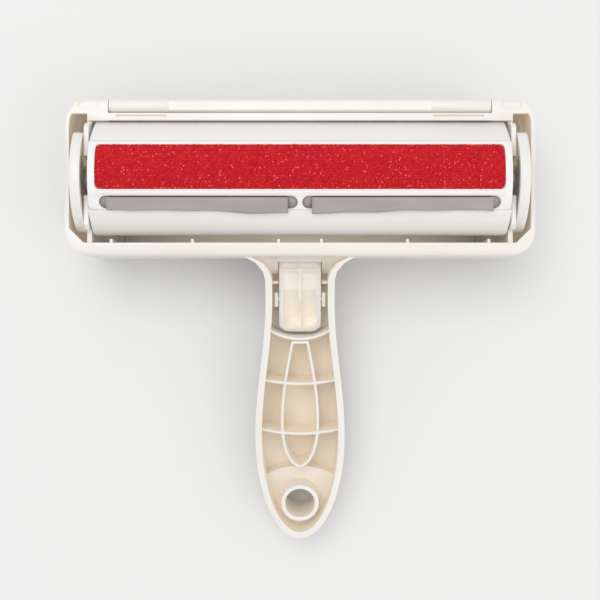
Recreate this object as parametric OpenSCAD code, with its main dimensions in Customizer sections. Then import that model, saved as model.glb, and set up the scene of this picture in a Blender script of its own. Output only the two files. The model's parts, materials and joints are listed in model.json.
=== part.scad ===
// Reusable pet-hair roller: a T-shaped hand roller whose rocking drum carries a
// pile band and two rubber lips, with a dust chamber behind it under a hinged lid.
// The roller lies on its back, drum up. Lengths are in millimetres, angles in degrees.

/* [Head] */
// Width over the two end caps
head_w = 195; // [176:1:240]
// Top edge, measured from the drum axis
head_top = 32.8; // [32.8:0.2:40]
// Bottom edge, measured from the drum axis
head_bottom = 33; // [32:0.5:40]
// Front face, measured from the drum axis
head_front = 15; // [13:0.5:17]
// Flat back, measured from the drum axis
head_back = 31.5; // [30:0.5:42]
// Radius of the long edges at the back
back_r = 26; // [16:1:28]
// Radius of the long edges at the front
front_r = 3; // [2.6:0.1:4]
// Radius of the four corners seen from the front
corner_r = 11; // [6:1:16]
// Wall of the frame moulding
wall = 2.2; // [1.6:0.1:3]
// Length of each end cap
cap_len = 17.8; // [17:0.1:24]
// Width of the bar that joins the caps along the top
top_bar_w = 3.1; // [2:0.1:4]
// Depth of the top bar
top_bar_depth = 5; // [3:0.5:6]
// Width of the lip along the bottom of the opening
lip_w = 5.7; // [4:0.1:8]
// Width of the edge beside the ends of the opening
opening_edge = 1.6; // [1:0.1:3]
// Bevel at the bottom corners of the opening
opening_bevel = 6; // [3:0.5:9]
// Thickness of the ribs behind the lip
lip_rib_t = 1.1; // [0.8:0.1:2]
// How far the lip ribs stand into the opening
lip_rib_h = 1.6; // [1:0.1:2.4]
// Stations of the inner lip ribs, from the middle of the head
lip_rib_x = [8.9, 44.8]; // [4:0.1:70]
// Depth of the groove in the top bar in front of each hinge
groove_d = 0.9; // [0.4:0.1:2]
// Depth of the channel along the lid's hinge edge
channel_d = 0.9; // [0.4:0.1:1.4]

/* [Drum] */
// Outer radius of the drum's plates
drum_r = 26.5; // [22:0.1:26.9]
// Half of the angle that the drum covers
drum_half_angle = 66; // [55:1:72]
// Thickness of the drum's shell
shell_t = 2; // [1.4:0.1:3]
// Thickness of the cover plates on the shell
plate_t = 2; // [1.6:0.1:3]
// Gap between the drum and the frame around it
drum_gap = 1.1; // [0.8:0.1:2]
// Gap between the drum's ends and the walls beside it
end_gap = 0.6; // [0.4:0.1:1]
// Thickness of the end plates
end_plate_t = 2.2; // [1.6:0.1:3]
// How far the end plates reach behind the axis
end_plate_back = 7; // [5:0.5:10]
// Radius of the journals
journal_r = 4; // [3:0.1:5]
// Running clearance of the journals
journal_fit = 0.05; // [0.02:0.01:0.09]
// First and last angle of the upper plate
upper_plate_span = [31, 66]; // [28:0.1:72]
// First and last angle of the cassette
cassette_span = [-33, 30.7]; // [-40:0.1:34]
// First and last angle of the lower plate
lower_plate_span = [-65.5, -33.3]; // [-72:0.1:-30]

// Radius of the upper plate's outer corners
upper_corner_r = 3; // [1:0.1:5]
// Radius of the lower plate's outer corners
lower_corner_r = 2.2; // [1:0.1:4]

/* [Pile band and lips] */
// Radius of the pile band's corners
pile_corner_r = 2.1; // [1:0.1:4]
// First and last angle of the pile band
pile_span = [-13.5, 26.9]; // [-16:0.1:28]
// Distance of the pile band's ends from the drum's ends
pile_margin = 3.5; // [2.4:0.1:12]
// Depth of its recess in the cassette
pile_recess = 1.1; // [0.6:0.1:1.4]
// How far the pile stands above the cassette
pile_proud = 0.5; // [0.2:0.1:0.8]
// First and last angle of the slots
slot_span = [-31.9, -19.7]; // [-32.4:0.1:-16]
// Distance of the slots' outer ends from the drum's ends
slot_margin = 4.7; // [3.6:0.1:14]
// Web between the two slots
slot_web = 1.8; // [1.4:0.1:4]
// Thickness of the rubber lips
lip_t = 0.9; // [0.6:0.1:1.2]
// How much shorter a lip is than its slot
lip_short = 6; // [2:0.2:12]
// Angle that a lip covers outside the drum
lip_reach = 12.4; // [8:0.2:14]
// Thickness of the bar that clamps the lips
clamp_t = 2; // [1.4:0.1:3]

/* [End rims] */
// Outer radius of the rims beside the drum
rim_r = 25; // [22:0.1:26]
// Width of the rims
rim_w = 4.2; // [3:0.1:5]
// Radial thickness of the rims
rim_t = 2.6; // [2:0.1:4]
// First and last angle of the rims
rim_span = [-66, 46]; // [-75:1:60]
// Thickness of the walls that carry the drum
inner_wall_t = 2; // [1.6:0.1:3]
// Gap between a rim and the walls beside it
rim_gap = 0.5; // [0.4:0.1:1]

/* [Lid] */
// Wall of the lid
lid_t = 2; // [1.4:0.1:2.6]
// Gap around the lid
lid_gap = 0.3; // [0.2:0.05:0.6]
// Edge of the lid at the handle, measured behind the drum axis
lid_edge = 12.3; // [8:0.1:16]
// Radius of the hinge barrel
barrel_r = 3; // [2.6:0.1:4]
// Radius of the hinge pins
pin_r = 1.2; // [0.8:0.1:1.6]
// Running clearance of the hinge pins in the lid
pin_fit = 0.05; // [0.02:0.01:0.09]
// Length of each hinge knuckle
knuckle_len = 25; // [16:1:40]
// Length of pin held in each knuckle
pin_in_lid = 13; // [8:1:20]
// Width of the catch on the lid
catch_w = 15; // [10:1:20]
// Thickness of the catch
catch_t = 1.8; // [1.4:0.1:2.4]

/* [Handle] */
// Length of the handle from the bottom wall
handle_len = 122.5; // [100:0.5:160]
// Half width of the waist behind the fillets
waist = 14.7; // [13.6:0.1:18]
// Half width of the belly
belly = 19.5; // [17:0.1:24]
// Distance of the belly from the tip
belly_from_tip = 46.4; // [36:0.5:58]
// Radius of the fillets where the handle meets the head
root_r = 10; // [6:0.5:12]
// Straight stretch of the waist after the fillets
waist_len = 8; // [2:0.5:14]
// Depth of the handle
handle_depth = 19.5; // [17:0.5:24]
// Thickness of the rim wall
rim_wall = 2.8; // [2:0.1:4]
// Thickness of the back skin
skin = 2.2; // [1.6:0.1:3]
// Thickness of the ribs
rib_t = 1.1; // [0.8:0.1:2]
// How far the ribs stay below the rim
rib_drop = 4; // [1:0.5:8]
// Distance of the two cross ribs from the tip
cross_rib_from_tip = [69.6, 47]; // [36:0.1:84]
// Length of the bullet-shaped rib
bullet_len = 57; // [40:1:70]
// Half width of the bullet-shaped rib
bullet_half_w = 8.4; // [6:0.1:10]
// Distance of the bullet's nose from the tip
bullet_from_tip = 31.6; // [28:0.5:40]
// Radius of the hanging hole
hang_r = 6.6; // [4:0.1:8]
// Wall of the ring round the hanging hole
hang_ring = 1.7; // [1.2:0.1:3]
// Distance of the hanging hole from the tip
hang_from_tip = 16; // [14:0.5:22]
// Thickness of the thick floor at the tip
tip_floor = 9; // [4:0.5:12]

/* [Button] */
// Half width of the button
button_half_w = 9; // [7:0.1:10]
// Length of the button's pad
pad_len = 18.7; // [16:0.1:20]
// Gap round the pad
pad_gap = 0.4; // [0.3:0.05:0.6]
// Thickness of the button's plates
button_t = 1.6; // [1.2:0.1:2]
// Height of the button's arm above the handle's back
arm_z = 7.6; // [7:0.1:8.4]
// Height of the button's cheeks above the handle's back
cheek_h = 12.6; // [11:0.1:14]
// Distance of the pivot from the bottom wall
pivot_y = 16.3; // [14:0.1:20]
// Height of the pivot above the handle's back
pivot_z = 9.5; // [8.8:0.1:11]
// Radius of the two pivot pins
pivot_r = 1.2; // [0.8:0.1:1.6]
// Running clearance of the pivot pins
pivot_fit = 0.05; // [0.02:0.01:0.09]
// Thickness of the lugs that carry the pivot pins
lug_t = 1.6; // [1.2:0.1:2.4]
// Outer radius of the return spring
spring_r = 2.6; // [2:0.1:3.4]
// Wire of the return spring
spring_wire = 0.5; // [0.3:0.05:0.7]
// Turns of the return spring
spring_turns = 4; // [3:1:5]
// Travel of the button
button_travel = 7; // [4:1:8]

/* [Hidden] */
$fn = 96;

// Joins solids that would otherwise only touch
lap = 0.5;
// Reach of a cut that goes right through
far = 400;

// Where the drum's layers lie
plate_in_r = drum_r - plate_t;
shell_in_r = plate_in_r - shell_t;
clear_r = drum_r + drum_gap;

// Where the pieces along the drum axis end
cap_in = head_w / 2 - cap_len;
rim_out = head_w / 2 - wall - rim_gap * 3.6;
rim_in = rim_out - rim_w;
inner_wall_out = rim_in - rim_gap;
inner_wall_in = inner_wall_out - inner_wall_t;
drum_half_len = inner_wall_in - end_gap;
end_plate_in = drum_half_len - end_plate_t;

// Lengths along the drum
pile_len = 2 * (drum_half_len - pile_margin);
slot_len = drum_half_len - slot_margin - slot_web / 2;
clamp_half_len = slot_len - 4;

// Lid hinge and lid ends
hinge_y = head_top - barrel_r;
hinge_z = head_front - barrel_r;
lid_half_len = cap_in - lid_gap;
knuckle_in = lid_half_len - knuckle_len;
pin_in = lid_half_len - pin_in_lid;
pin_out = cap_in + 8;

// Opening in the front of the frame
opening_top = hinge_y - barrel_r - lid_gap - top_bar_w;
opening_bottom = -head_bottom + lip_w;
opening_half_w = head_w / 2 - opening_edge;
opening_end_top = hinge_y - barrel_r - 0.5;

// How far the lid's edge lies below the start of the rounded back
lid_edge_below = max(0, back_r - head_back + lid_edge);

// Handle frame of reference: its back plane starts at the lid's edge and comes
// down to the floor near the tip
handle_root_z = -lid_edge + lid_gap;
chamfer_h = [2, 3];
chamfer_scale = [[0.89, 0.985], [0.93, 0.985]];
floor_reach = handle_len / 2 * (1 + chamfer_scale[0][1] * chamfer_scale[1][1]);
handle_tilt = asin((head_back + handle_root_z) / floor_reach);
root_lead = handle_depth * tan(handle_tilt);
belly_y = handle_len - belly_from_tip;
waist_end = root_r + waist_len - root_lead;
// Front edge of the bottom wall in the handle's frame
lip_edge_h = head_front - front_r - handle_root_z;
lip_edge = [lip_edge_h * sin(handle_tilt), lip_edge_h * cos(handle_tilt)];

// Button stations along the handle
pad_start = pivot_y - 4.3;
pad_end = pad_start + pad_len;
pad_corner_r = 4.3;
pad_swing = pivot_z * sin(button_travel);
arm_end = pad_start;
ramp_end = pad_end - 5;
spring_y = 8;
spring_h = arm_z - skin - (pivot_y - spring_y + spring_r) * sin(button_travel);
bar_gap = 0.6;
bar_w = 4.4;
bar_out = arm_z * tan(handle_tilt) - bar_gap;
lug_top = pivot_z + pivot_r + 1.6;
// Hook under the arm, which goes through the bottom wall
hook_z = skin + (pivot_y + wall + root_lead) * sin(button_travel) + 0.3;
hook_h = 2.4;
hook_gap = 0.5;
hook_w = catch_w - 4.8;
// Lid's catch, just inside the bottom wall
lid_edge_in_y = back_r - wall < lid_edge_below
    ? -head_bottom + back_r
    : -head_bottom + back_r - sqrt(pow(back_r - wall, 2) - pow(lid_edge_below, 2));
catch_y = lid_edge_in_y + lid_gap + 0.1;
nose_out = (catch_y + head_bottom - hook_gap + hook_z * sin(handle_tilt)) / cos(handle_tilt);

// The whole roller stands on the floor with its outline centred on the origin
tip_y = -head_bottom - handle_len * cos(handle_tilt) - handle_depth * sin(handle_tilt);
axis_y = -(head_top + tip_y) / 2;
axis_z = head_back;

// Half width of the handle at distance u from the bottom wall, in from the edge by inset
function handle_half_w(u, inset = 0) =
    u + root_lead < root_r
    ? waist - inset + root_r - sqrt(root_r * root_r - pow(root_r - max(0, u + root_lead), 2))
    : u < waist_end ? waist - inset
    : u < belly_y
    ? waist - inset + (belly - waist) * (1 - cos(180 * (u - waist_end) / (belly_y - waist_end))) / 2
    : (belly - inset) * sqrt(max(0, 1 - pow((u - belly_y) / (belly_from_tip - inset), 2)));

// Half width of the bullet-shaped rib at distance t from its head
bullet_nose = 20;
bullet_head_w = 3.7;
bullet_start = handle_len - bullet_from_tip - bullet_len;
function bullet_w(t, inset) =
    t < bullet_len - bullet_nose
    ? bullet_head_w - inset
        + (bullet_half_w - bullet_head_w) * sin(90 * t / (bullet_len - bullet_nose))
    : (bullet_half_w - inset)
        * sqrt(max(0, 1 - pow((t - bullet_len + bullet_nose) / (bullet_nose - inset), 2)));

// Both sides of an outline that narrows to a point, from its right side
function both_sides(right) =
    concat(right, [for (i = [len(right) - 2:-1:0]) [-right[i][0], right[i][1]]]);

// Puts children at the drum axis
module place() {
    translate([0, axis_y, axis_z]) children();
}

// Puts children in the handle's frame: -Y runs to the tip, z = 0 is the back
module on_handle() {
    translate([0, -head_bottom, handle_root_z]) rotate([handle_tilt, 0, 0]) children();
}

// Extrudes a (y, z) outline along X, centred
module along_x(len) {
    rotate([90, 0, 90]) linear_extrude(len, center = true) children();
}

// Extrudes a (y, z) outline from x = from to x = to
module from_to(from, to) {
    translate([from, 0, 0]) rotate([90, 0, 90]) linear_extrude(to - from) children();
}

// Copies children to both ends
module both_ends() {
    children();
    mirror([1, 0, 0]) children();
}

// Part of a ring between two angles, counted from straight up towards the top edge
module ring_sector(r_in, r_out, span) {
    steps = 8;
    reach = 2 * r_out;
    intersection() {
        difference() {
            circle(r_out);
            circle(r_in);
        }
        polygon(concat([[0, 0]], [for (i = [0:steps])
            let (a = span[0] + (span[1] - span[0]) * i / steps) [reach * sin(a), reach * cos(a)]]));
    }
}

// Section of the head, in from the outside by inset
module head_outline(inset = 0) {
    y0 = -head_bottom + inset;
    y1 = head_top - inset;
    z0 = -head_back + inset;
    z1 = head_front - inset;
    rb = back_r - inset;
    rf = max(front_r - inset, 0.8);
    translate([y0, z0 + rb]) square([y1 - y0, z1 - rf - z0 - rb]);
    translate([y0 + rf, z1 - 2 * rf]) square([y1 - y0 - 2 * rf, 2 * rf]);
    translate([y0 + rb, z0]) square([y1 - y0 - 2 * rb, rb + lap]);
    for (y = [y0 + rf, y1 - rf]) translate([y, z1 - rf]) circle(rf);
    intersection() {
        for (y = [y0 + rb, y1 - rb]) translate([y, z0 + rb]) circle(rb);
        translate([y0, z0]) square([y1 - y0, rb + lap]);
    }
}

// Outline of the head seen from the front
module front_outline(inset = 0) {
    x1 = head_w / 2 - inset;
    y0 = -head_bottom + inset;
    y1 = head_top - inset;
    r = corner_r - inset;
    translate([-x1, y0 + r]) square([2 * x1, y1 - y0 - 2 * r]);
    translate([-x1 + r, y0]) square([2 * x1 - 2 * r, y1 - y0]);
    for (x = [-x1 + r, x1 - r], y = [y0 + r, y1 - r]) translate([x, y]) circle(r);
}

// The head as one block
module head_block(inset = 0) {
    intersection() {
        along_x(head_w - 2 * inset) head_outline(inset);
        translate([0, 0, -far / 2]) linear_extrude(far) front_outline(inset);
    }
}

// The round space that the drum turns in
module drum_space() {
    along_x(2 * inner_wall_in) circle(clear_r);
}

// Opening in the front, with bevelled bottom corners and round top corners
module front_opening() {
    w = opening_half_w;
    b = opening_bevel;
    linear_extrude(far) {
        polygon([[-w, opening_bottom + b], [-w + b, opening_bottom], [w - b, opening_bottom],
            [w, opening_bottom + b], [w, 0], [-w, 0]]);
        translate([-inner_wall_out, -lap]) square([2 * inner_wall_out, opening_top + lap]);
        both_ends() intersection() {
            front_outline(opening_edge);
            translate([inner_wall_out - lap, -lap])
                square([far, opening_end_top + lap]);
        }
    }
}

// Wall beside the drum, notched for the bearing block
block_half_w = journal_r + 1.7;
block_top = 6;
module inner_wall() {
    notch_top = 14;
    difference() {
        union() {
            from_to(inner_wall_in, inner_wall_out) intersection() {
                head_outline(wall / 2);
                translate([-far / 2, -far]) square([far, far + head_front - wall]);
            }
            from_to(inner_wall_in, inner_wall_out) intersection() {
                circle(clear_r);
                translate([-22, 0]) square([44, far]);
                translate([-far / 2, 0]) square([far, 19]);
            }
        }
        from_to(inner_wall_in - lap, inner_wall_out + lap)
            polygon([[-block_half_w, -block_half_w], [block_half_w, -block_half_w],
                [block_half_w, block_top], [notch_top, far / 8], [-notch_top, far / 8],
                [-block_half_w, block_top]]);
    }
}

// Hollow end cap with its inner wall and the solid corner that holds the hinge pin
module end_cap() {
    difference() {
        intersection() {
            head_block();
            translate([cap_in, -far / 2, -far / 2]) cube(far);
        }
        difference() {
            head_block(wall);
            from_to(cap_in, pin_out + 2) translate([hinge_y - barrel_r, hinge_z - barrel_r])
                square(4 * barrel_r);
        }
        front_opening();
    }
    inner_wall();
}

// Thumb-sized hollow in each front corner of the caps
module corner_recess() {
    depth = 0.8;
    translate([head_w / 2 - corner_r + 1.5, hinge_y, head_front - depth])
        linear_extrude(far) {
            square([5, 3.4], center = true);
            for (x = [-2.5, 2.5]) translate([x, 0]) circle(1.7);
        }
}

// Bar across the top, behind which the lid is hinged
module top_bar() {
    difference() {
        from_to(-cap_in - lap, cap_in + lap)
            translate([opening_top, head_front - top_bar_depth]) square([top_bar_w, top_bar_depth]);
        drum_space();
        both_ends() translate([knuckle_in + 1, opening_top + top_bar_w / 2, head_front - groove_d])
            cube([knuckle_len - 4, 0.8, far]);
    }
}

// Bottom wall with its lip, and the ribs that stiffen the lip
module bottom_wall() {
    intersection() {
        difference() {
            head_block();
            head_block(wall);
            front_opening();
        }
        along_x(2 * (cap_in + lap)) translate([-far, -lid_edge + lid_gap]) square([far - 10, far]);
    }
    rib_depth = 6;
    for (x = concat(lip_rib_x, cap_in - lip_rib_t), side = [-1, 1])
        translate([side * x - lip_rib_t / 2, -head_bottom + wall / 2, head_front - wall - rib_depth])
            cube([lip_rib_t, lip_w - wall / 2 + lip_rib_h, rib_depth + wall / 2]);
}

// Outline of the handle from the front, in from the outside by inset
module handle_outline(inset = 0) {
    steps = 56;
    start = -root_lead - 1.5;
    reach = handle_len - inset - start;
    polygon(both_sides([for (i = [0:steps])
        let (u = start + reach * (1 - pow(1 - i / steps, 1.6))) [handle_half_w(u, inset), -u]]));
}

// Solid handle, narrowed in two steps towards its back
module handle_solid() {
    step_z = chamfer_h[0] + chamfer_h[1];
    translate([0, 0, step_z]) linear_extrude(handle_depth - step_z) handle_outline();
    translate([0, -handle_len / 2, 0]) {
        translate([0, 0, step_z]) mirror([0, 0, 1])
            linear_extrude(chamfer_h[1], scale = chamfer_scale[1], slices = 1, $fn = 16)
                translate([0, handle_len / 2]) handle_outline();
        translate([0, 0, chamfer_h[0]]) mirror([0, 0, 1])
            linear_extrude(chamfer_h[0], scale = chamfer_scale[0], slices = 1, $fn = 16)
                scale(chamfer_scale[1]) translate([0, handle_len / 2]) handle_outline();
    }
}

// Bullet-shaped outline of the middle rib
module bullet_outline(inset = 0) {
    steps = 28;
    reach = bullet_len - 2 * inset;
    polygon(both_sides([for (i = [0:steps])
        let (t = inset + reach * (1 - pow(1 - i / steps, 1.5)))
        [bullet_w(t, inset), -bullet_start - t]]));
}

// Ribs inside the handle
module handle_ribs() {
    foot = skin - lap;
    top = handle_depth - rib_drop;
    intersection() {
        translate([0, 0, foot]) linear_extrude(top - foot) handle_outline(rim_wall - lap);
        union() {
            linear_extrude(far) difference() {
                bullet_outline();
                bullet_outline(rib_t);
            }
            for (u = cross_rib_from_tip) curved_rib(handle_len - u, 70);
            curved_rib(pad_end + 2.3, 23.4);
            translate([0, -handle_len, 0]) cylinder(r = hang_from_tip + 14, h = tip_floor);
        }
    }
}

// Cross rib bent towards the tip, with its middle at distance u from the bottom wall
module curved_rib(u, rib_r) {
    translate([0, rib_r - u, 0]) linear_extrude(far) intersection() {
        difference() {
            circle(rib_r + rib_t / 2);
            circle(rib_r - rib_t / 2);
        }
        translate([-far / 2, -far]) square([far, far]);
    }
}

// Lugs for the pivot pins and the short bars beside the button's arm
module button_lugs() {
    inner = button_half_w + pad_gap;
    lug_len = 6;
    both_ends() {
        difference() {
            translate([inner, -pivot_y - lug_len / 2, skin - lap])
                cube([lug_t, lug_len, lug_top - skin + lap]);
            translate([0, -pivot_y, pivot_z]) rotate([0, 90, 0]) cylinder(r = pivot_r, h = far);
        }
        translate([inner, -pad_start + 2.7, skin - lap])
            cube([waist - rim_wall + lap - inner, rib_t, lug_top - skin]);
    }
}

// Slope from the bottom wall's front edge down to the handle's floor
module root_web() {
    web_len = 5.4;
    web_h = 8.6;
    intersection() {
        linear_extrude(far) handle_outline(lap);
        along_x(far) polygon([lip_edge, [-web_len, web_h], [-web_len, skin - lap],
            [lip_edge[0], skin - lap]]);
    }
}

// Rim wall raised towards the bottom wall's front edge
module root_rim() {
    rise_len = 16;
    intersection() {
        linear_extrude(far) difference() {
            handle_outline();
            handle_outline(rim_wall);
        }
        along_x(far) polygon([lip_edge, [-rise_len, handle_depth], [-rise_len, handle_depth - lap],
            [lip_edge[0], handle_depth - lap]]);
    }
}

module handle_frame() {
    color([0.95, 0.93, 0.90]) place() difference() {
        union() {
            both_ends() end_cap();
            top_bar();
            bottom_wall();
            difference() {
                on_handle() {
                    difference() {
                        handle_solid();
                        difference() {
                            translate([0, 0, skin]) linear_extrude(far)
                                handle_outline(rim_wall);
                            linear_extrude(far) translate([0, -handle_len + hang_from_tip])
                                circle(hang_r + hang_ring);
                        }
                    }
                    handle_ribs();
                    button_lugs();
                    root_web();
                    root_rim();
                }
                head_block(wall);
            }
        }
        // bore for the hinge pins
        translate([0, hinge_y, hinge_z]) rotate([0, 90, 0])
            cylinder(r = pin_r, h = 2 * pin_out, center = true);
        // the two thumb hollows
        both_ends() corner_recess();
        on_handle() {
            // hanging hole
            translate([0, -handle_len + hang_from_tip, -lap]) cylinder(r = hang_r, h = far);
            // window for the pad, longer at the end that swings towards the tip
            translate([-button_half_w - pad_gap, -pad_end - pad_gap - pad_swing, -lap])
                cube([2 * (button_half_w + pad_gap), pad_len + 2 * pad_gap + pad_swing, skin + 2 * lap]);
            // room for the button's arm
            translate([-button_half_w - pad_gap, -pad_start, skin])
                cube([2 * (button_half_w + pad_gap), pad_start + bar_out + bar_gap, far]);
            // slot for the hook
            translate([-catch_w / 2, -lap, skin])
                cube([catch_w, wall + root_lead + 2 * lap, hook_z + hook_h + 0.6 - skin]);
            // ring is a little lower than the rim
            translate([0, -handle_len + hang_from_tip, handle_depth - 1.2])
                cylinder(r = hang_r + hang_ring + 0.1, h = far);
        }
    }
}

// Block that closes the bearing notch round the journal
module bearing_block() {
    flange_t = 1.2;
    fit = 0.05;
    difference() {
        union() {
            from_to(inner_wall_in, inner_wall_out)
                translate([-block_half_w + fit, -block_half_w + fit])
                    square([2 * (block_half_w - fit), block_half_w + block_top - fit]);
            from_to(inner_wall_out, inner_wall_out + flange_t)
                translate([-block_half_w - 1, -block_half_w - 1])
                    square([2 * (block_half_w + 1), block_half_w + block_top + 1]);
        }
        along_x(far) circle(journal_r + journal_fit);
    }
}

module bearing_block_left() {
    color([0.93, 0.91, 0.88]) place() mirror([1, 0, 0]) bearing_block();
}

module bearing_block_right() {
    color([0.93, 0.91, 0.88]) place() bearing_block();
}

// Steel pin from the cap into the lid's knuckle
module hinge_pin() {
    translate([pin_in, hinge_y, hinge_z]) rotate([0, 90, 0]) cylinder(r = pin_r, h = pin_out - pin_in);
}

module hinge_pin_left() {
    color("silver") place() mirror([1, 0, 0]) hinge_pin();
}

module hinge_pin_right() {
    color("silver") place() hinge_pin();
}

// Lid: the back and top of the head, hinged along the top front edge
module lid_shell() {
    color([0.95, 0.93, 0.90]) place() difference() {
        union() {
            along_x(2 * lid_half_len) {
                difference() {
                    head_outline();
                    head_outline(lid_t);
                    translate([-far, -lid_edge]) square([far + hinge_y - barrel_r, far]);
                    translate([0, hinge_z]) square(far);
                }
                translate([hinge_y, hinge_z]) circle(barrel_r);
            }
            lid_catch();
            lid_ribs();
        }
        translate([0, hinge_y, hinge_z]) rotate([0, 90, 0])
            cylinder(r = pin_r + pin_fit, h = far, center = true);
        // long channel between the knuckles
        along_x(2 * knuckle_in) translate([hinge_y - 1.7, head_front - channel_d])
            square([3.2, far]);
        // window in the catch
        translate([-catch_w / 2 + 2, -head_bottom, -lid_edge + hook_z - 1])
            cube([catch_w - 4, 8, hook_h + 1.4]);
    }
}

// Tongue at the lid's edge, with a window for the button's hook
module lid_catch() {
    translate([-catch_w / 2, catch_y, -lid_edge - 4]) cube([catch_w, catch_t, 4 + hook_z + hook_h + 2.4]);
}

// Two shallow ribs inside the lid
module lid_ribs() {
    rib_h = 1.4;
    for (x = [-lid_half_len / 2, lid_half_len / 2])
        translate([x, 0, 0]) along_x(1.2) intersection() {
            difference() {
                head_outline(lid_t - lap);
                head_outline(lid_t + rib_h);
            }
            translate([-20, -far]) square([40, far]);
        }
}

// Outline of the button from the front, with round corners at its lower end
module button_outline(inset = 0) {
    steps = 8;
    w = button_half_w - inset;
    r = pad_corner_r - inset;
    y0 = -pad_end + inset;
    polygon(concat([[-w, bar_out], [w, bar_out]],
        [for (i = [0:steps]) let (a = -90 * i / steps) [w - r + r * cos(a), y0 + r + r * sin(a)]],
        [for (i = [0:steps]) let (a = -90 - 90 * i / steps) [r - w + r * cos(a), y0 + r + r * sin(a)]]));
}

// Floor of the button from the side: arm, ramp and thumb pad
module button_floor() {
    intersection() {
        linear_extrude(far) button_outline();
        along_x(far) polygon([[bar_out, arm_z], [bar_out, arm_z + button_t],
            [-arm_end, arm_z + button_t], [-ramp_end, button_t], [-pad_end, button_t], [-pad_end, 0],
            [-pad_start, 0], [-pad_start, button_t], [-ramp_end + 3.6, button_t], [-arm_end, arm_z]]);
    }
}

// Wall round the button's sides and lower end
module button_cheeks() {
    intersection() {
        linear_extrude(far) difference() {
            button_outline();
            translate([0, bar_w]) button_outline(button_t);
            button_outline(button_t);
        }
        along_x(far) polygon([[bar_out, arm_z], [bar_out, cheek_h], [-ramp_end + 4, cheek_h],
            [-pad_end, cheek_h - 2.6], [-pad_end, 0], [-pad_start, 0], [-pad_start, arm_z]]);
    }
}

// Button: a thumb pad in the handle's back, an arm beyond the pivot and a hook
module release_button() {
    w = button_half_w;
    leg_y = -3.4;
    leg_t = 2;
    color([0.95, 0.93, 0.90]) place() on_handle() difference() {
        union() {
            button_floor();
            button_cheeks();
            // cross bar at the arm's end
            translate([-w + lap, bar_out - bar_w, arm_z + lap])
                cube([2 * w - 2 * lap, bar_w, cheek_h - arm_z - lap]);
            // middle rib, falling to the pad at its lower end
            along_x(rib_t) polygon([[bar_out - lap, arm_z + lap], [bar_out - lap, cheek_h],
                [-pivot_y, cheek_h - 0.6], [-pad_end + lap, button_t + 2], [-pad_end + lap, lap],
                [-ramp_end, lap], [-arm_end, arm_z + lap]]);
            // leg and nose of the hook
            translate([-hook_w / 2, leg_y, hook_z]) cube([hook_w, leg_t, arm_z - hook_z + lap]);
            translate([-hook_w / 2, leg_y + leg_t - lap, hook_z])
                cube([hook_w, nose_out - leg_y - leg_t + lap, hook_h]);
        }
        // two pockets in the cross bar
        both_ends() translate([rib_t / 2, bar_out - bar_w + 1.1, arm_z + button_t + 1.6])
            cube([w - button_t - rib_t / 2, bar_w - 2.2, far]);
        // bore for the pivot pins
        translate([0, -pivot_y, pivot_z]) rotate([0, 90, 0])
            cylinder(r = pivot_r + pivot_fit, h = far, center = true);
    }
}

// Two short pins, each through a lug into the button's cheek
module button_pins() {
    pin_start = button_half_w - button_t;
    pin_end = button_half_w + pad_gap + lug_t;
    color("silver") place() on_handle() both_ends()
        translate([pin_start, -pivot_y, pivot_z]) rotate([0, 90, 0])
            cylinder(r = pivot_r, h = pin_end - pin_start);
}

// Return spring, at the height it has when the button is down
module button_spring() {
    sides = 8;
    per_turn = 16;
    n = spring_turns * per_turn;
    rise = spring_h - spring_wire;
    mean_r = spring_r - spring_wire / 2;
    points = [for (i = [0:n], j = [0:sides - 1])
        let (a = 360 * i / per_turn, b = 360 * j / sides, r = mean_r + spring_wire / 2 * cos(b))
        [r * cos(a), r * sin(a), spring_wire / 2 * (1 + sin(b)) + rise * i / n]];
    walls = [for (i = [0:n - 1], j = [0:sides - 1])
        let (k = (j + 1) % sides)
        [i * sides + j, i * sides + k, (i + 1) * sides + k, (i + 1) * sides + j]];
    ends = [[for (j = [sides - 1:-1:0]) j], [for (j = [0:sides - 1]) n * sides + j]];
    color("silver") place() on_handle() translate([0, -spring_y, skin])
        polyhedron(points, concat([for (f = walls) [f[3], f[2], f[1], f[0]]],
            [for (f = ends) [for (i = [len(f) - 1:-1:0]) f[i]]]));
}

// Slot with round ends, cut along the drum's radius
module slot_cut(side) {
    steps = 8;
    a_mid = (slot_span[0] + slot_span[1]) / 2;
    half_h = (slot_span[1] - slot_span[0]) / 2 * PI / 180 * drum_r;
    x0 = side > 0 ? slot_web / 2 + half_h : -slot_web / 2 - slot_len + half_h;
    x1 = x0 + slot_len - 2 * half_h;
    rotate([-a_mid, 0, 0]) linear_extrude(far) polygon(concat(
        [for (i = [0:steps]) let (a = 90 + 180 * i / steps) [x0 + half_h * cos(a), half_h * sin(a)]],
        [for (i = [0:steps]) let (a = 270 + 180 * i / steps) [x1 + half_h * cos(a), half_h * sin(a)]]));
}

module drum_shell() {
    color([0.93, 0.91, 0.88]) place() difference() {
        along_x(2 * drum_half_len)
            ring_sector(shell_in_r, plate_in_r, [-drum_half_angle, drum_half_angle]);
        slot_cut(1);
        slot_cut(-1);
        clamp_screw_places() cylinder(r = 1.1, h = far);
    }
}

// End plate with its journal
module drum_end() {
    rim_hub_out = rim_out + 0.6;
    difference() {
        union() {
            from_to(end_plate_in, drum_half_len) intersection() {
                circle(shell_in_r);
                translate([-far / 2, -end_plate_back]) square([far, far]);
                ring_sector(0, shell_in_r, [-drum_half_angle, drum_half_angle + 0.01]);
            }
            from_to(end_plate_in, drum_half_len) circle(journal_r + 3);
            from_to(end_plate_in, rim_hub_out) circle(journal_r);
        }
        from_to(rim_hub_out - 7, far) circle(1.1);
    }
}

module drum_end_left() {
    color([0.93, 0.91, 0.88]) place() mirror([1, 0, 0]) drum_end();
}

module drum_end_right() {
    color([0.93, 0.91, 0.88]) place() drum_end();
}

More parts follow.
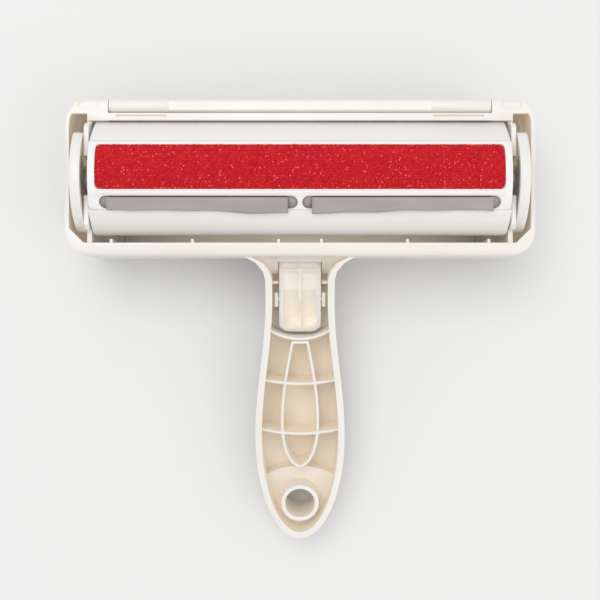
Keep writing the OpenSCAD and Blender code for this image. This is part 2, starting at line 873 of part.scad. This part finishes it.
// Rim that rolls on the cloth beside the drum and turns with it
module end_rim() {
    web_t = 1.6;
    from_to(rim_in, rim_out - web_t) ring_sector(rim_r - rim_t, rim_r, rim_span);
    from_to(rim_out - web_t, rim_out) difference() {
        union() {
            ring_sector(journal_r + 1, rim_r, rim_span);
            circle(journal_r + 2.6);
        }
        circle(journal_r);
    }
}

module end_rim_left() {
    color([0.96, 0.95, 0.92]) place() mirror([1, 0, 0]) end_rim();
}

module end_rim_right() {
    color([0.96, 0.95, 0.92]) place() end_rim();
}

// Pan-head screw with a cross recess: head up, shank down from z = 0
module screw(len) {
    difference() {
        union() {
            cylinder(r = 2.1, h = 1.1);
            translate([0, 0, -len]) cylinder(r = 1.1, h = len + lap);
        }
        for (a = [0, 90]) rotate([0, 0, a]) translate([-1.1, -0.25, 0.5]) cube([2.2, 0.5, 1]);
    }
}

module rim_screws() {
    color("silver") place() both_ends() translate([rim_out + 0.6, 0, 0]) rotate([0, 90, 0]) screw(6);
}

// Corner points of a rectangle with round corners
function round_rect(half_w, half_h, r, steps = 6) = [for (k = [0:3], i = [0:steps])
    let (a = 90 * (k + i / steps), side = k == 0 || k == 3 ? 1 : -1, up = k < 2 ? 1 : -1)
    [side * (half_w - r) + r * cos(a), up * (half_h - r) + r * sin(a)]];

// Block with round corners that stands on the drum between two angles. It ends a
// little outside the angles, or far outside on a side that stays square.
module rounded_block(half_len, span, r, corner, square_low = false, square_high = false) {
    half = r * sin((span[1] - span[0]) / 2) + 0.05;
    low = -half - (square_low ? 2 * corner : 0);
    high = half + (square_high ? 2 * corner : 0);
    rotate([-(span[0] + span[1]) / 2, 0, 0]) linear_extrude(far)
        translate([0, (low + high) / 2]) polygon(round_rect(half_len, (high - low) / 2, corner));
}

// Cover plate on the drum shell
module cover_plate(span, half_len) {
    along_x(2 * half_len) ring_sector(plate_in_r, drum_r, span);
}

module upper_plate() {
    half_len = drum_half_len - 1.2;
    color([0.90, 0.89, 0.87]) place() intersection() {
        cover_plate(upper_plate_span, half_len);
        rounded_block(half_len, upper_plate_span, drum_r, upper_corner_r, square_low = true);
    }
}

module lower_plate() {
    color([0.95, 0.94, 0.91]) place() intersection() {
        cover_plate(lower_plate_span, drum_half_len);
        rounded_block(drum_half_len, lower_plate_span, drum_r, lower_corner_r, square_high = true);
    }
}

// Recess of the pile band, a little larger than the band
pile_gap = 0.2;
recess_span = pile_span + [-0.3, 0.3];

// Cassette: carries the pile band in a recess and frames the two slots
module brush_cassette() {
    color([0.95, 0.94, 0.91]) place() difference() {
        cover_plate(cassette_span, drum_half_len - 0.4);
        intersection() {
            along_x(pile_len + 2 * pile_gap) ring_sector(drum_r - pile_recess, drum_r + 1, recess_span);
            rounded_block(pile_len / 2 + pile_gap, recess_span, drum_r + 1, pile_corner_r + pile_gap);
        }
        slot_cut(1);
        slot_cut(-1);
    }
}

module pile_strip() {
    color([0.78, 0.08, 0.13]) place() intersection() {
        along_x(pile_len) ring_sector(drum_r - pile_recess, drum_r + pile_proud, pile_span);
        rounded_block(pile_len / 2, pile_span, drum_r + pile_proud, pile_corner_r);
    }
}

// Rubber lip: its root goes through the slot, its flap lies over the slot
lip_root_a = slot_span[1] - 1.4;
module rubber_lip(side) {
    x0 = slot_web / 2 + lip_short / 2 + 1;
    x1 = slot_web / 2 + slot_len - lip_short / 2;
    root_deg = lip_t / drum_r * 180 / PI;
    mirror([side > 0 ? 0 : 1, 0, 0]) from_to(x0, x1) {
        ring_sector(shell_in_r - lip_t, drum_r + 0.2 + lip_t, [lip_root_a - root_deg, lip_root_a]);
        ring_sector(drum_r + 0.2, drum_r + 0.2 + lip_t, [lip_root_a - lip_reach, lip_root_a]);
        ring_sector(shell_in_r - lip_t, shell_in_r, [lip_root_a - root_deg, lip_root_a + 7]);
    }
}

module rubber_lip_left() {
    color([0.74, 0.73, 0.71]) place() rubber_lip(-1);
}

module rubber_lip_right() {
    color([0.74, 0.73, 0.71]) place() rubber_lip(1);
}

// Bar inside the drum that clamps the roots of both lips
clamp_a = lip_root_a + 9;
module lip_clamp() {
    color([0.93, 0.91, 0.88]) place() difference() {
        along_x(2 * clamp_half_len) {
            ring_sector(shell_in_r - lip_t - clamp_t, shell_in_r - lip_t, [lip_root_a, clamp_a + 8]);
            ring_sector(shell_in_r - lip_t - clamp_t, shell_in_r, [lip_root_a + 7.2, clamp_a + 8]);
        }
        clamp_screw_places() cylinder(r = 1.1, h = far);
    }
}

// Stations of the clamp's screws, with +Z along the drum's radius
module clamp_screw_places() {
    for (k = [-0.78, -0.26, 0.26, 0.78])
        rotate([-clamp_a - 3, 0, 0]) translate([k * clamp_half_len, 0, 0]) children();
}

module clamp_screws() {
    color("silver") place() clamp_screw_places()
        translate([0, 0, shell_in_r - lip_t - clamp_t - 0.15]) mirror([0, 0, 1]) screw(4.4);
}

handle_frame();
bearing_block_left();
bearing_block_right();
hinge_pin_left();
hinge_pin_right();
button_pins();
button_spring();
lid_shell();
release_button();
drum_shell();
drum_end_left();
drum_end_right();
end_rim_left();
end_rim_right();
rim_screws();
upper_plate();
lower_plate();
brush_cassette();
pile_strip();
rubber_lip_left();
rubber_lip_right();
lip_clamp();
clamp_screws();
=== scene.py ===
import json
import math
import random

import bmesh
import bpy
from mathutils import Matrix, Vector


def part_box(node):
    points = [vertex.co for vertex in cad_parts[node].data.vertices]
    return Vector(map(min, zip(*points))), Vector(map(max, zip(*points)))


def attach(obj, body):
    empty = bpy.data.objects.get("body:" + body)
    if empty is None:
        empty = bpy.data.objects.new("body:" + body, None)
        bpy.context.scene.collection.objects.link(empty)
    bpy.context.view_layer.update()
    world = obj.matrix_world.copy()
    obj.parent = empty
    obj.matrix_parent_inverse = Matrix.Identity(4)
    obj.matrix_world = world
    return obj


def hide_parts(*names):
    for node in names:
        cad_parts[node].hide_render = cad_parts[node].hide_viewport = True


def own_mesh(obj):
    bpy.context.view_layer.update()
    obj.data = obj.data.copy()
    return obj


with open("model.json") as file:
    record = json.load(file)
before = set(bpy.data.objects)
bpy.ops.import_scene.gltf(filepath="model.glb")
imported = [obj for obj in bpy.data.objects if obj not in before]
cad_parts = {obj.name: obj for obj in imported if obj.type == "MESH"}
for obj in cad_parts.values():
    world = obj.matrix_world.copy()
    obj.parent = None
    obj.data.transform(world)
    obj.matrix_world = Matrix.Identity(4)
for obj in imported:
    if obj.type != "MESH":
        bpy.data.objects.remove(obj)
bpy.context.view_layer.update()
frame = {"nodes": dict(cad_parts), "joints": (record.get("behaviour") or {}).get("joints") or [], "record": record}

MM = 0.001
RNG = random.Random(7)


def joint_axis(name):
    """A point on a joint's axis."""
    return Vector(next(j["pos_m"] for j in frame["joints"] if j["name"] == name))


DRUM = joint_axis("drum_rock")
HANDLE_UP = Vector(next(m["axis"] for m in frame["record"]["mounts"] if m["name"] == "hang_hole"))


# Camera, floor and lights

VIEW_DISTANCE = 0.400       # from the drum's axis to the camera
VIEW_BELOW_AXIS = 0.0511    # the picture's middle lies this far towards the handle
VIEW_WIDTH = 0.2586         # what the picture spans at the drum's axis
SENSOR_WIDTH = 36.0
FLOOR_HALF_SIZE = 3.0
FLOOR_GREY = (0.715, 0.715, 0.712, 1.0)
SKY_STRENGTH = 0.88
KEY_LIGHT = {"location": (-0.20, 0.35, 1.00), "size": 0.7, "power": 3.6}
FILL_LIGHT = {"location": (0.55, -0.35, 0.80), "size": 0.8, "power": 1.4,
              "colour": (1.0, 0.985, 0.96)}


def make_camera():
    data = bpy.data.cameras.new("camera")
    data.sensor_width = SENSOR_WIDTH
    data.lens = data.sensor_width * VIEW_DISTANCE / VIEW_WIDTH
    data.clip_start = 0.01
    camera = bpy.data.objects.new("camera", data)
    camera.location = DRUM + Vector((0.0, -VIEW_BELOW_AXIS, VIEW_DISTANCE))
    bpy.context.collection.objects.link(camera)
    bpy.context.scene.camera = camera


def area_light(name, location, size, power, colour=(1.0, 1.0, 1.0)):
    """A round soft light that points at the middle of the floor."""
    data = bpy.data.lights.new(name, "AREA")
    data.shape = "DISK"
    data.size = size
    data.energy = power
    data.color = colour
    light = bpy.data.objects.new(name, data)
    light.location = location
    light.rotation_euler = (-Vector(location)).to_track_quat("-Z", "Y").to_euler()
    bpy.context.collection.objects.link(light)


def make_lights():
    world = bpy.data.worlds.new("studio")
    world.use_nodes = True
    background = world.node_tree.nodes["Background"]
    background.inputs["Color"].default_value = (1.0, 1.0, 1.0, 1.0)
    background.inputs["Strength"].default_value = SKY_STRENGTH
    scene = bpy.context.scene
    scene.world = world
    scene.view_settings.view_transform = "Standard"
    area_light("key", **KEY_LIGHT)
    area_light("fill", **FILL_LIGHT)


def make_floor():
    bm = bmesh.new()
    bmesh.ops.create_grid(bm, x_segments=2, y_segments=2, size=FLOOR_HALF_SIZE)
    mesh = bpy.data.meshes.new("floor")
    bm.to_mesh(mesh)
    bm.free()
    floor = bpy.data.objects.new("floor", mesh)
    bpy.context.collection.objects.link(floor)
    material = bpy.data.materials.new("pale_floor")
    material.use_nodes = True
    shader = material.node_tree.nodes["Principled BSDF"]
    shader.inputs["Base Color"].default_value = FLOOR_GREY
    shader.inputs["Roughness"].default_value = 0.9
    shader.inputs["Specular IOR Level"].default_value = 0.1
    floor.data.materials.append(material)


# Materials

# the tone attribute also carries the painted shade at the tufts' roots
TONE = "tuft_tone"                 # vertex attribute that holds how light each tuft is
# the painted hollow shade and painted glow are full below SHELTERED and gone above OPEN
SHELTERED, OPEN = 0.25, 0.85       # shares of free sky that count as a hollow and as open


class Finish:
    """A material under construction, with short ways to add its nodes."""

    def __init__(self, name):
        self.material = bpy.data.materials.new(name)
        self.material.use_nodes = True
        self.tree = self.material.node_tree
        self.shader = self.tree.nodes["Principled BSDF"]
        self.place = self.tree.nodes.new("ShaderNodeTexCoord").outputs["Object"]

    def set(self, **values):
        for key, value in values.items():
            self.shader.inputs[key.replace("_", " ")].default_value = value

    def link(self, source, target):
        self.tree.links.new(source, target)

    def noise(self, scale, detail=3.0, roughness=0.5, stretch=None):
        node = self.tree.nodes.new("ShaderNodeTexNoise")
        node.inputs["Scale"].default_value = scale
        node.inputs["Detail"].default_value = detail
        node.inputs["Roughness"].default_value = roughness
        source = self.place
        if stretch:
            mapping = self.tree.nodes.new("ShaderNodeMapping")
            mapping.inputs["Scale"].default_value = stretch
            self.link(source, mapping.inputs["Vector"])
            source = mapping.outputs["Vector"]
        self.link(source, node.inputs["Vector"])
        return node.outputs["Fac"]

    def ramp(self, source, *stops):
        node = self.tree.nodes.new("ShaderNodeValToRGB")
        elements = node.color_ramp.elements
        while len(elements) < len(stops):
            elements.new(0.5)
        for element, (position, colour) in zip(elements, stops):
            element.position = position
            element.color = (*colour, 1.0)
        self.link(source, node.inputs["Fac"])
        return node.outputs["Color"]

    def span(self, source, low, high):
        node = self.tree.nodes.new("ShaderNodeMapRange")
        node.inputs["To Min"].default_value = low
        node.inputs["To Max"].default_value = high
        self.link(source, node.inputs["Value"])
        return node.outputs["Result"]

    def painted_hollow_shade(self, open_colour, painted_shade_colour, reach):
        """open_colour on open surfaces, turning to a painted shade colour where walls stand close."""
        shade_occlusion = self.tree.nodes.new("ShaderNodeAmbientOcclusion")
        shade_occlusion.samples = 8
        shade_occlusion.only_local = True
        shade_occlusion.inputs["Distance"].default_value = reach
        # painted shade: ambient occlusion mixes the shade colour into hollows; openness also drives the painted
        # glow
        mix = self.tree.nodes.new("ShaderNodeMix")
        mix.data_type = "RGBA"
        openness = self.span(shade_occlusion.outputs["AO"], 0.0, 1.0)
        openness.node.inputs["From Min"].default_value = SHELTERED
        openness.node.inputs["From Max"].default_value = OPEN
        self.link(openness, mix.inputs[0])
        mix.inputs[6].default_value = (*painted_shade_colour, 1.0)
        self.link(open_colour, mix.inputs[7])
        return mix.outputs[2], openness

    def bump(self, *layers):
        """Each layer is (source, height in metres)."""
        below = None
        for source, height in layers:
            node = self.tree.nodes.new("ShaderNodeBump")
            node.inputs["Strength"].default_value = 1.0
            node.inputs["Distance"].default_value = height
            self.link(source, node.inputs["Height"])
            if below:
                self.link(below, node.inputs["Normal"])
            below = node.outputs["Normal"]
        self.link(below, self.shader.inputs["Normal"])


def moulded_plastic(name, tint, shade, hollow_shade_and_glow, gloss=0.34, reach=0.025, painted_glow=0.10):
    """Moulded plastic: faint cloudiness, a fine spark-eroded skin, and in its hollows a painted warm shade and a
    painted glow (emission) that stand for the light coming through its thin walls."""
    finish = Finish(name)
    finish.set(Specular_IOR_Level=0.45)
    cloud = finish.ramp(finish.noise(38.0, detail=2.0), (0.30, shade), (0.70, tint))
    colour, openness = finish.painted_hollow_shade(cloud, hollow_shade_and_glow, reach)
    finish.link(colour, finish.shader.inputs["Base Color"])
    # painted glow: the hollows give off light in the painted shade colour, strongest where they are deepest
    finish.set(Emission_Color=(*hollow_shade_and_glow, 1.0))
    finish.link(finish.span(openness, painted_glow, 0.0), finish.shader.inputs["Emission Strength"])
    finish.link(finish.span(finish.noise(210.0, detail=4.0), gloss - 0.06, gloss + 0.08),
                finish.shader.inputs["Roughness"])
    finish.bump((finish.noise(5200.0, detail=2.0), 0.000012), (finish.noise(90.0), 0.00003))
    return finish.material


def soft_rubber(name):
    """Grey silicone rubber with a dusty, slightly rubbed surface."""
    finish = Finish(name)
    finish.set(Specular_IOR_Level=0.35, Sheen_Weight=0.12, Sheen_Roughness=0.5)
    patches = finish.noise(160.0, detail=4.0, roughness=0.6, stretch=(0.3, 1.0, 1.0))
    finish.link(finish.ramp(patches, (0.25, (0.30, 0.275, 0.255)), (0.75, (0.36, 0.333, 0.312))),
                finish.shader.inputs["Base Color"])
    finish.link(finish.span(patches, 0.50, 0.68), finish.shader.inputs["Roughness"])
    finish.bump((finish.noise(3600.0, detail=2.0), 0.00002))
    return finish.material


def drawn_steel(name, tint):
    """Bright steel with fine marks along X."""
    finish = Finish(name)
    finish.set(Metallic=1.0, Anisotropic=0.3)
    marks = finish.noise(2600.0, detail=4.0, stretch=(0.06, 1.0, 1.0))
    low = tuple(0.82 * c for c in tint)
    finish.link(finish.ramp(marks, (0.3, low), (0.7, tint)), finish.shader.inputs["Base Color"])
    finish.link(finish.span(marks, 0.24, 0.42), finish.shader.inputs["Roughness"])
    finish.bump((marks, 0.00001))
    return finish.material


def red_pile(name):
    """Short red pile: darker at the roots as painted shade where the tufts crowd, each tuft a little lighter or
    darker.
    """
    finish = Finish(name)
    finish.set(Specular_IOR_Level=0.25, Sheen_Weight=0.25, Sheen_Roughness=0.4,
               Sheen_Tint=(1.0, 0.30, 0.30, 1.0))
    tone = finish.tree.nodes.new("ShaderNodeAttribute")
    tone.attribute_name = TONE
    colour = finish.ramp(tone.outputs["Fac"], (0.0, (0.42, 0.002, 0.008)),
                         (0.55, (0.63, 0.006, 0.017)), (0.85, (0.76, 0.020, 0.034)),
                         (1.0, (0.88, 0.16, 0.17)))
    finish.link(colour, finish.shader.inputs["Base Color"])
    strands = finish.noise(5200.0, detail=2.0)
    finish.link(finish.span(strands, 0.50, 0.80), finish.shader.inputs["Roughness"])
    finish.bump((strands, 0.00005))
    return finish.material


IVORY = (0.735, 0.712, 0.676)
IVORY_SHADE = (0.715, 0.690, 0.650)
# warm painted shade and painted glow for the hollows of the ivory mouldings
IVORY_PAINTED_HOLLOW_SHADE = (0.76, 0.675, 0.56)
# each moulding's third colour is the painted shade and painted glow of its hollows; the button's is lighter than
# its plastic, a painted light, and the lid glows most
FINISHES = {
    "frame_plastic": moulded_plastic("ivory_frame", IVORY, IVORY_SHADE, IVORY_PAINTED_HOLLOW_SHADE),
    "lid_plastic": moulded_plastic("ivory_lid", IVORY, IVORY_SHADE, IVORY_PAINTED_HOLLOW_SHADE, reach=0.09,
                                   painted_glow=0.60),
    "button_plastic": moulded_plastic("ivory_button", IVORY, IVORY_SHADE, (0.86, 0.80, 0.71), 0.38),
    "drum_plastic": moulded_plastic("white_drum", (0.755, 0.74, 0.715), (0.735, 0.718, 0.69),
                                    (0.82, 0.76, 0.68)),
    "rim_plastic": moulded_plastic("white_rims", (0.715, 0.698, 0.67), (0.70, 0.68, 0.648),
                                   (0.81, 0.74, 0.64)),
    "plate_plastic": moulded_plastic("grey_white_plate", (0.72, 0.702, 0.688), (0.70, 0.682, 0.666),
                                     (0.74, 0.70, 0.65)),
    "red_pile": red_pile("red_pile"),
    "lip_rubber": soft_rubber("grey_rubber"),
    "pin_steel": drawn_steel("pin_steel", (0.62, 0.62, 0.63)),
    "spring_steel": drawn_steel("spring_steel", (0.52, 0.52, 0.54)),
    "screw_steel": drawn_steel("screw_steel", (0.64, 0.64, 0.66)),
}
SLOT_OF = {s["node"]: s["material_slot"] for s in frame["record"]["subparts"]}
BODY_OF = {node: body for body, nodes in frame["record"]["behaviour"]["bodies"].items()
           for node in nodes}


# Pieces

def add_piece(name, bm, node, stands_for=None):
    """Makes a piece from bm that rides with node's body and takes its finish."""
    mesh = bpy.data.meshes.new(name)
    bm.to_mesh(mesh)
    bm.free()
    piece = bpy.data.objects.new(name, mesh)
    bpy.context.collection.objects.link(piece)
    mesh.materials.append(FINISHES[SLOT_OF[node]])
    mesh.shade_smooth()
    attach(piece, BODY_OF[node])
    for replaced in stands_for or []:
        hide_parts(replaced)
    return piece


def softened(node, edge, segments=3, from_angle=28.0):
    """A copy of a CAD node with every edge rounded, as a mould leaves it."""
    bm = bmesh.new()
    bm.from_mesh(frame["nodes"][node].data)
    bmesh.ops.remove_doubles(bm, verts=bm.verts, dist=2e-6)
    bmesh.ops.dissolve_limit(bm, angle_limit=math.radians(0.6), verts=bm.verts, edges=bm.edges)
    piece = add_piece(node + "_moulded", bm, node, [node])
    bevel = piece.modifiers.new("edges", "BEVEL")
    bevel.width = edge
    bevel.segments = segments
    bevel.limit_method = "ANGLE"
    bevel.angle_limit = math.radians(from_angle)
    bevel.harden_normals = True
    return piece


def dress_hidden(node):
    """A CAD node that stays as it is, with its finish."""
    mesh = frame["nodes"][node].data
    mesh.materials.clear()
    mesh.materials.append(FINISHES[SLOT_OF[node]])


# Pile band

DRUM_R = 26.5 * MM
PILE_LOW, PILE_HIGH = -13.5, 26.9          # degrees round the drum
PILE_TIP_R = DRUM_R + 0.5 * MM
MAT_R = DRUM_R - 0.35 * MM
MAT_FOOT_R = DRUM_R - 1.1 * MM
MAT_CUTS = 20                              # strips it bends in
PILE_CORNER = 2.1 * MM
TUFT_GAP = 0.80 * MM
TUFT_SINK = 0.25 * MM                      # the tufts' bed starts this far inside the mat
TUFT_BED = 0.3 * MM                        # height of the bed
TUFT_TIP_SHARE = 0.52                      # a tuft's tip against its root
# tone of the tufts' roots and of the backing: painted shade at the foot of the pile
ROOT_PAINTED_SHADE = 0.12


def wrap(bm, start_degrees):
    """Bends flat (x, y, z) onto the drum: y runs round it from start_degrees, z outwards."""
    for vert in bm.verts:
        angle = math.radians(start_degrees) + vert.co.y / DRUM_R
        radius = vert.co.z
        vert.co = DRUM + Vector((vert.co.x, radius * math.sin(angle), radius * math.cos(angle)))


def round_panel(half_len, width, corner, low, high, cuts):
    """Flat panel with round corners, cut across so that it can bend, between two radii."""
    bm = bmesh.new()
    bmesh.ops.create_grid(bm, x_segments=1, y_segments=1, size=0.5)
    bmesh.ops.scale(bm, vec=(2.0 * half_len, width, 1.0), verts=bm.verts)
    bmesh.ops.translate(bm, vec=(0.0, width / 2.0, low), verts=bm.verts)
    bmesh.ops.bevel(bm, geom=bm.verts[:], affect="VERTICES", offset=corner, segments=6,
                    profile=0.5, material=-1)
    for k in range(1, cuts):
        bmesh.ops.bisect_plane(bm, geom=bm.verts[:] + bm.edges[:] + bm.faces[:],
                               plane_co=(0.0, width * k / cuts, 0.0), plane_no=(0.0, 1.0, 0.0))
    top = bmesh.ops.extrude_face_region(bm, geom=bm.faces[:])["geom"]
    bmesh.ops.translate(bm, vec=(0.0, 0.0, high - low),
                        verts=[g for g in top if isinstance(g, bmesh.types.BMVert)])
    bmesh.ops.recalc_face_normals(bm, faces=bm.faces)
    return bm


def pile_band():
    """Short red tufts on a backing, in place of the plain band."""
    half_len = 0.5 * (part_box("pile_strip")[1][0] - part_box("pile_strip")[0][0])
    width = math.radians(PILE_HIGH - PILE_LOW) * DRUM_R
    mat = round_panel(half_len, width, PILE_CORNER, MAT_FOOT_R, MAT_R, MAT_CUTS)
    wrap(mat, PILE_LOW)
    root = mat.verts.layers.float.new(TONE)
    # the backing takes the dark root tone all over, as painted shade under the tufts
    for vert in mat.verts:
        vert[root] = ROOT_PAINTED_SHADE
    add_piece("pile_backing", mat, "pile_strip", ["pile_strip"])

    # rows of short tufts, each row set off by half a tuft from the next
    rows = round(width / TUFT_GAP)
    columns = round(2.0 * half_len / TUFT_GAP) + rows // 2 + 2
    bm = bmesh.new()
    tone = bm.verts.layers.float.new(TONE)
    bmesh.ops.create_grid(bm, x_segments=columns, y_segments=rows, size=0.5)
    bmesh.ops.scale(bm, vec=(columns * TUFT_GAP, width, 1.0), verts=bm.verts)
    bmesh.ops.translate(bm, vec=(0.0, width / 2.0, MAT_R - TUFT_SINK), verts=bm.verts)
    for vert in bm.verts:
        vert.co.x += 0.5 * TUFT_GAP * (vert.co.y - width / 2.0) / (width / rows)
    outside = []
    for face in bm.faces:
        x, y, _ = face.calc_center_median()
        past_x = max(0.0, abs(x) + 0.45 * TUFT_GAP - half_len + PILE_CORNER)
        past_y = max(0.0, PILE_CORNER - min(y, width - y) + 0.45 * TUFT_GAP)
        if math.hypot(past_x, past_y) > PILE_CORNER + 0.1 * MM:
            outside.append(face)
    bmesh.ops.delete(bm, geom=outside, context="FACES")
    raised = bmesh.ops.extrude_face_region(bm, geom=bm.faces[:])["geom"]
    bmesh.ops.translate(bm, vec=(0.0, 0.0, TUFT_BED),
                        verts=[g for g in raised if isinstance(g, bmesh.types.BMVert)])
    # painted shade: every tuft starts from the dark root tone
    for vert in bm.verts:
        vert[tone] = ROOT_PAINTED_SHADE
    roots = [g for g in raised if isinstance(g, bmesh.types.BMFace)]
    for tip in bmesh.ops.extrude_discrete_faces(bm, faces=roots)["faces"]:
        middle = tip.calc_center_median()
        shift = Vector((RNG.gauss(0.0, 0.10) * MM, RNG.gauss(-0.12, 0.10) * MM,
                        (PILE_TIP_R - MAT_R) * RNG.uniform(0.75, 1.0)))
        turn = Matrix.Rotation(RNG.uniform(0.3, 1.1), 3, "Z")
        shade = min(1.0, max(0.1, RNG.gauss(0.55, 0.21)))
        for vert in tip.verts:
            vert.co = middle + turn @ (TUFT_TIP_SHARE * (vert.co - middle)) + shift
            vert[tone] = shade
    bmesh.ops.recalc_face_normals(bm, faces=bm.faces)
    wrap(bm, PILE_LOW)
    add_piece("pile_tufts", bm, "pile_strip", ["pile_strip"])


# Rubber lips

LIP_T = 0.9 * MM
LIP_ROOT = -21.1                           # degrees round the drum
LIP_ANCHOR_R = 21.6 * MM                   # how far in the lip reaches into the drum
LIP_REACH = 12.4                           # degrees from its root to its free edge
LIP_PARTS = 56                             # steps along its length
SLOT_LOW, SLOT_HIGH = -31.9, -19.7         # degrees round the drum
SLOT_IN, SLOT_OUT = 0.9 * MM, 81.5 * MM    # ends of a slot from the drum's middle
LIP_SAG = 0.16                             # how far its free edge dips towards one end
LIP_RIPPLE = 0.05
LIP_LIFT = 0.55                            # how far its free edge stands off the drum, mm
LIP_LIFT_WAVE = 0.22
PLUG_SLACK = 0.12 * MM
PLUG_SINK = 1.9 * MM                       # foot of a plug below the drum's skin
PLUG_HEIGHT = 1.3 * MM


def rubber_lip(name, side):
    """A flap that leaves the slot at its upper edge and hangs over it, with a wavy free edge."""
    x_low, x_high = (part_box(name)[k][0] for k in (0, 1))
    outer = DRUM_R + 0.2 * MM + LIP_T
    reach = math.radians(LIP_REACH)
    section = [(-1.3, LIP_ANCHOR_R), (0.0, LIP_ANCHOR_R), (0.0, outer - 0.55 * MM),
               (-0.6, outer - 0.1 * MM), (-2.0, outer)]
    steps = 7
    section += [(-2.0 - 10.0 * k / steps, outer) for k in range(1, steps)]
    section += [(-12.2, outer - 0.15 * MM), (-12.4, outer - 0.45 * MM), (-12.2, outer - 0.75 * MM)]
    section += [(-2.0 - 10.0 * k / steps, outer - LIP_T) for k in range(steps - 1, -1, -1)]
    section += [(-1.3, outer - 1.2 * MM)]
    bm = bmesh.new()
    start = [bm.verts.new((x_low, math.radians(a), r)) for a, r in section]
    face = bm.faces.new(start)
    for step in range(LIP_PARTS):
        made = bmesh.ops.extrude_face_region(bm, geom=[face])["geom"]
        if step > 0:
            bmesh.ops.delete(bm, geom=[face], context="FACES")
        face = next(g for g in made if isinstance(g, bmesh.types.BMFace))
        bmesh.ops.translate(bm, vec=((x_high - x_low) / LIP_PARTS, 0.0, 0.0), verts=face.verts[:])
    for vert in bm.verts:
        x, angle, radius = vert.co
        along = (x - x_low) / (x_high - x_low)
        share = min(1.0, max(0.0, -angle / reach)) if radius > DRUM_R else 0.0
        inner = along if side < 0 else 1.0 - along
        swell = (LIP_SAG * math.tanh((inner - 0.62) * 9.0)
                 + LIP_RIPPLE * math.sin(19.0 * along + side))
        angle += -share * share * reach * swell * 0.7
        lift = LIP_LIFT + LIP_LIFT_WAVE * math.sin(11.0 * along + 2.0 * side)
        radius += share * share * MM * lift
        angle += math.radians(LIP_ROOT)
        vert.co = DRUM + Vector((x, radius * math.sin(angle), radius * math.cos(angle)))
    bmesh.ops.recalc_face_normals(bm, faces=bm.faces)
    add_piece(name + "_flap", bm, name, [name])

    # round plugs of the same rubber that fill the slot's ends
    middle = math.radians(0.5 * (SLOT_LOW + SLOT_HIGH))
    half = math.radians(0.5 * (SLOT_HIGH - SLOT_LOW)) * DRUM_R
    bm = bmesh.new()
    for x in (side * (SLOT_IN + half), side * (SLOT_OUT - half)):
        foot = Matrix.Translation((x, 0.0, DRUM_R - PLUG_SINK))
        made = bmesh.ops.create_circle(bm, cap_ends=True, segments=32,
                                       radius=half - PLUG_SLACK, matrix=foot)["verts"]
        disc = made[0].link_faces[0]
        raised = bmesh.ops.extrude_face_region(bm, geom=[disc])["geom"]
        bmesh.ops.translate(bm, vec=(0.0, 0.0, PLUG_HEIGHT),
                            verts=[g for g in raised if isinstance(g, bmesh.types.BMVert)])
    bmesh.ops.recalc_face_normals(bm, faces=bm.faces)
    wrap(bm, math.degrees(middle))
    add_piece(name + "_plugs", bm, name, [name])


# Return spring

SPRING_TURNS = 4
SPRING_STEPS = 20                          # to a turn
WIRE_R = 0.25 * MM
COIL_R = 2.35 * MM
SPRING_PRESSED = 4.07 * MM                 # its length with the button down, as in the CAD
SPRING_FREE = 5.35 * MM                    # its length with the button at rest

def return_spring():
    """Wire spring under the button's arm, made at its length with the button at rest."""
    low, high = (Vector(c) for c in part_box("button_spring"))
    middle = 0.5 * (low + high)
    rise = SPRING_FREE - 2.0 * WIRE_R
    upright = Matrix.Rotation(math.radians(90.0), 4, "X")
    bm = bmesh.new()
    circle = bmesh.ops.create_circle(
        bm, segments=8, radius=WIRE_R,
        matrix=Matrix.Translation((COIL_R, 0.0, WIRE_R)) @ upright)
    steps = SPRING_TURNS * SPRING_STEPS
    bmesh.ops.spin(bm, geom=circle["verts"] + bm.edges[:], cent=(0.0, 0.0, 0.0),
                   axis=(0.0, 0.0, 1.0), dvec=(0.0, 0.0, rise / steps),
                   angle=2.0 * math.pi * SPRING_TURNS, steps=steps)
    bmesh.ops.holes_fill(bm, edges=[e for e in bm.edges if e.is_boundary])
    bmesh.ops.recalc_face_normals(bm, faces=bm.faces)
    turn = Vector((0.0, 0.0, 1.0)).rotation_difference(HANDLE_UP).to_matrix().to_4x4()
    foot = middle - HANDLE_UP * SPRING_PRESSED / 2.0
    bmesh.ops.transform(bm, matrix=Matrix.Translation(foot) @ turn, verts=bm.verts)
    spring = add_piece("return_spring_wire", bm, "button_spring", ["button_spring"])
    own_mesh(spring)


LARGE_MOULDINGS = ("handle_frame", "lid_shell")
SMALL_MOULDINGS = ("release_button", "bearing_block_left", "bearing_block_right",
                   "drum_end_left", "drum_end_right", "end_rim_left", "end_rim_right",
                   "drum_shell", "upper_plate", "lower_plate", "brush_cassette", "lip_clamp")
PINS_AND_SCREWS = ("hinge_pin_left", "hinge_pin_right", "button_pins", "rim_screws",
                   "clamp_screws")
LARGE_EDGE = 0.35 * MM
SMALL_EDGE = 0.25 * MM

make_camera()
make_lights()
make_floor()

for name in LARGE_MOULDINGS:
    softened(name, LARGE_EDGE)
for name in SMALL_MOULDINGS:
    softened(name, SMALL_EDGE)
for name in PINS_AND_SCREWS:
    dress_hidden(name)
pile_band()
rubber_lip("rubber_lip_left", -1)
rubber_lip("rubber_lip_right", 1)
return_spring()
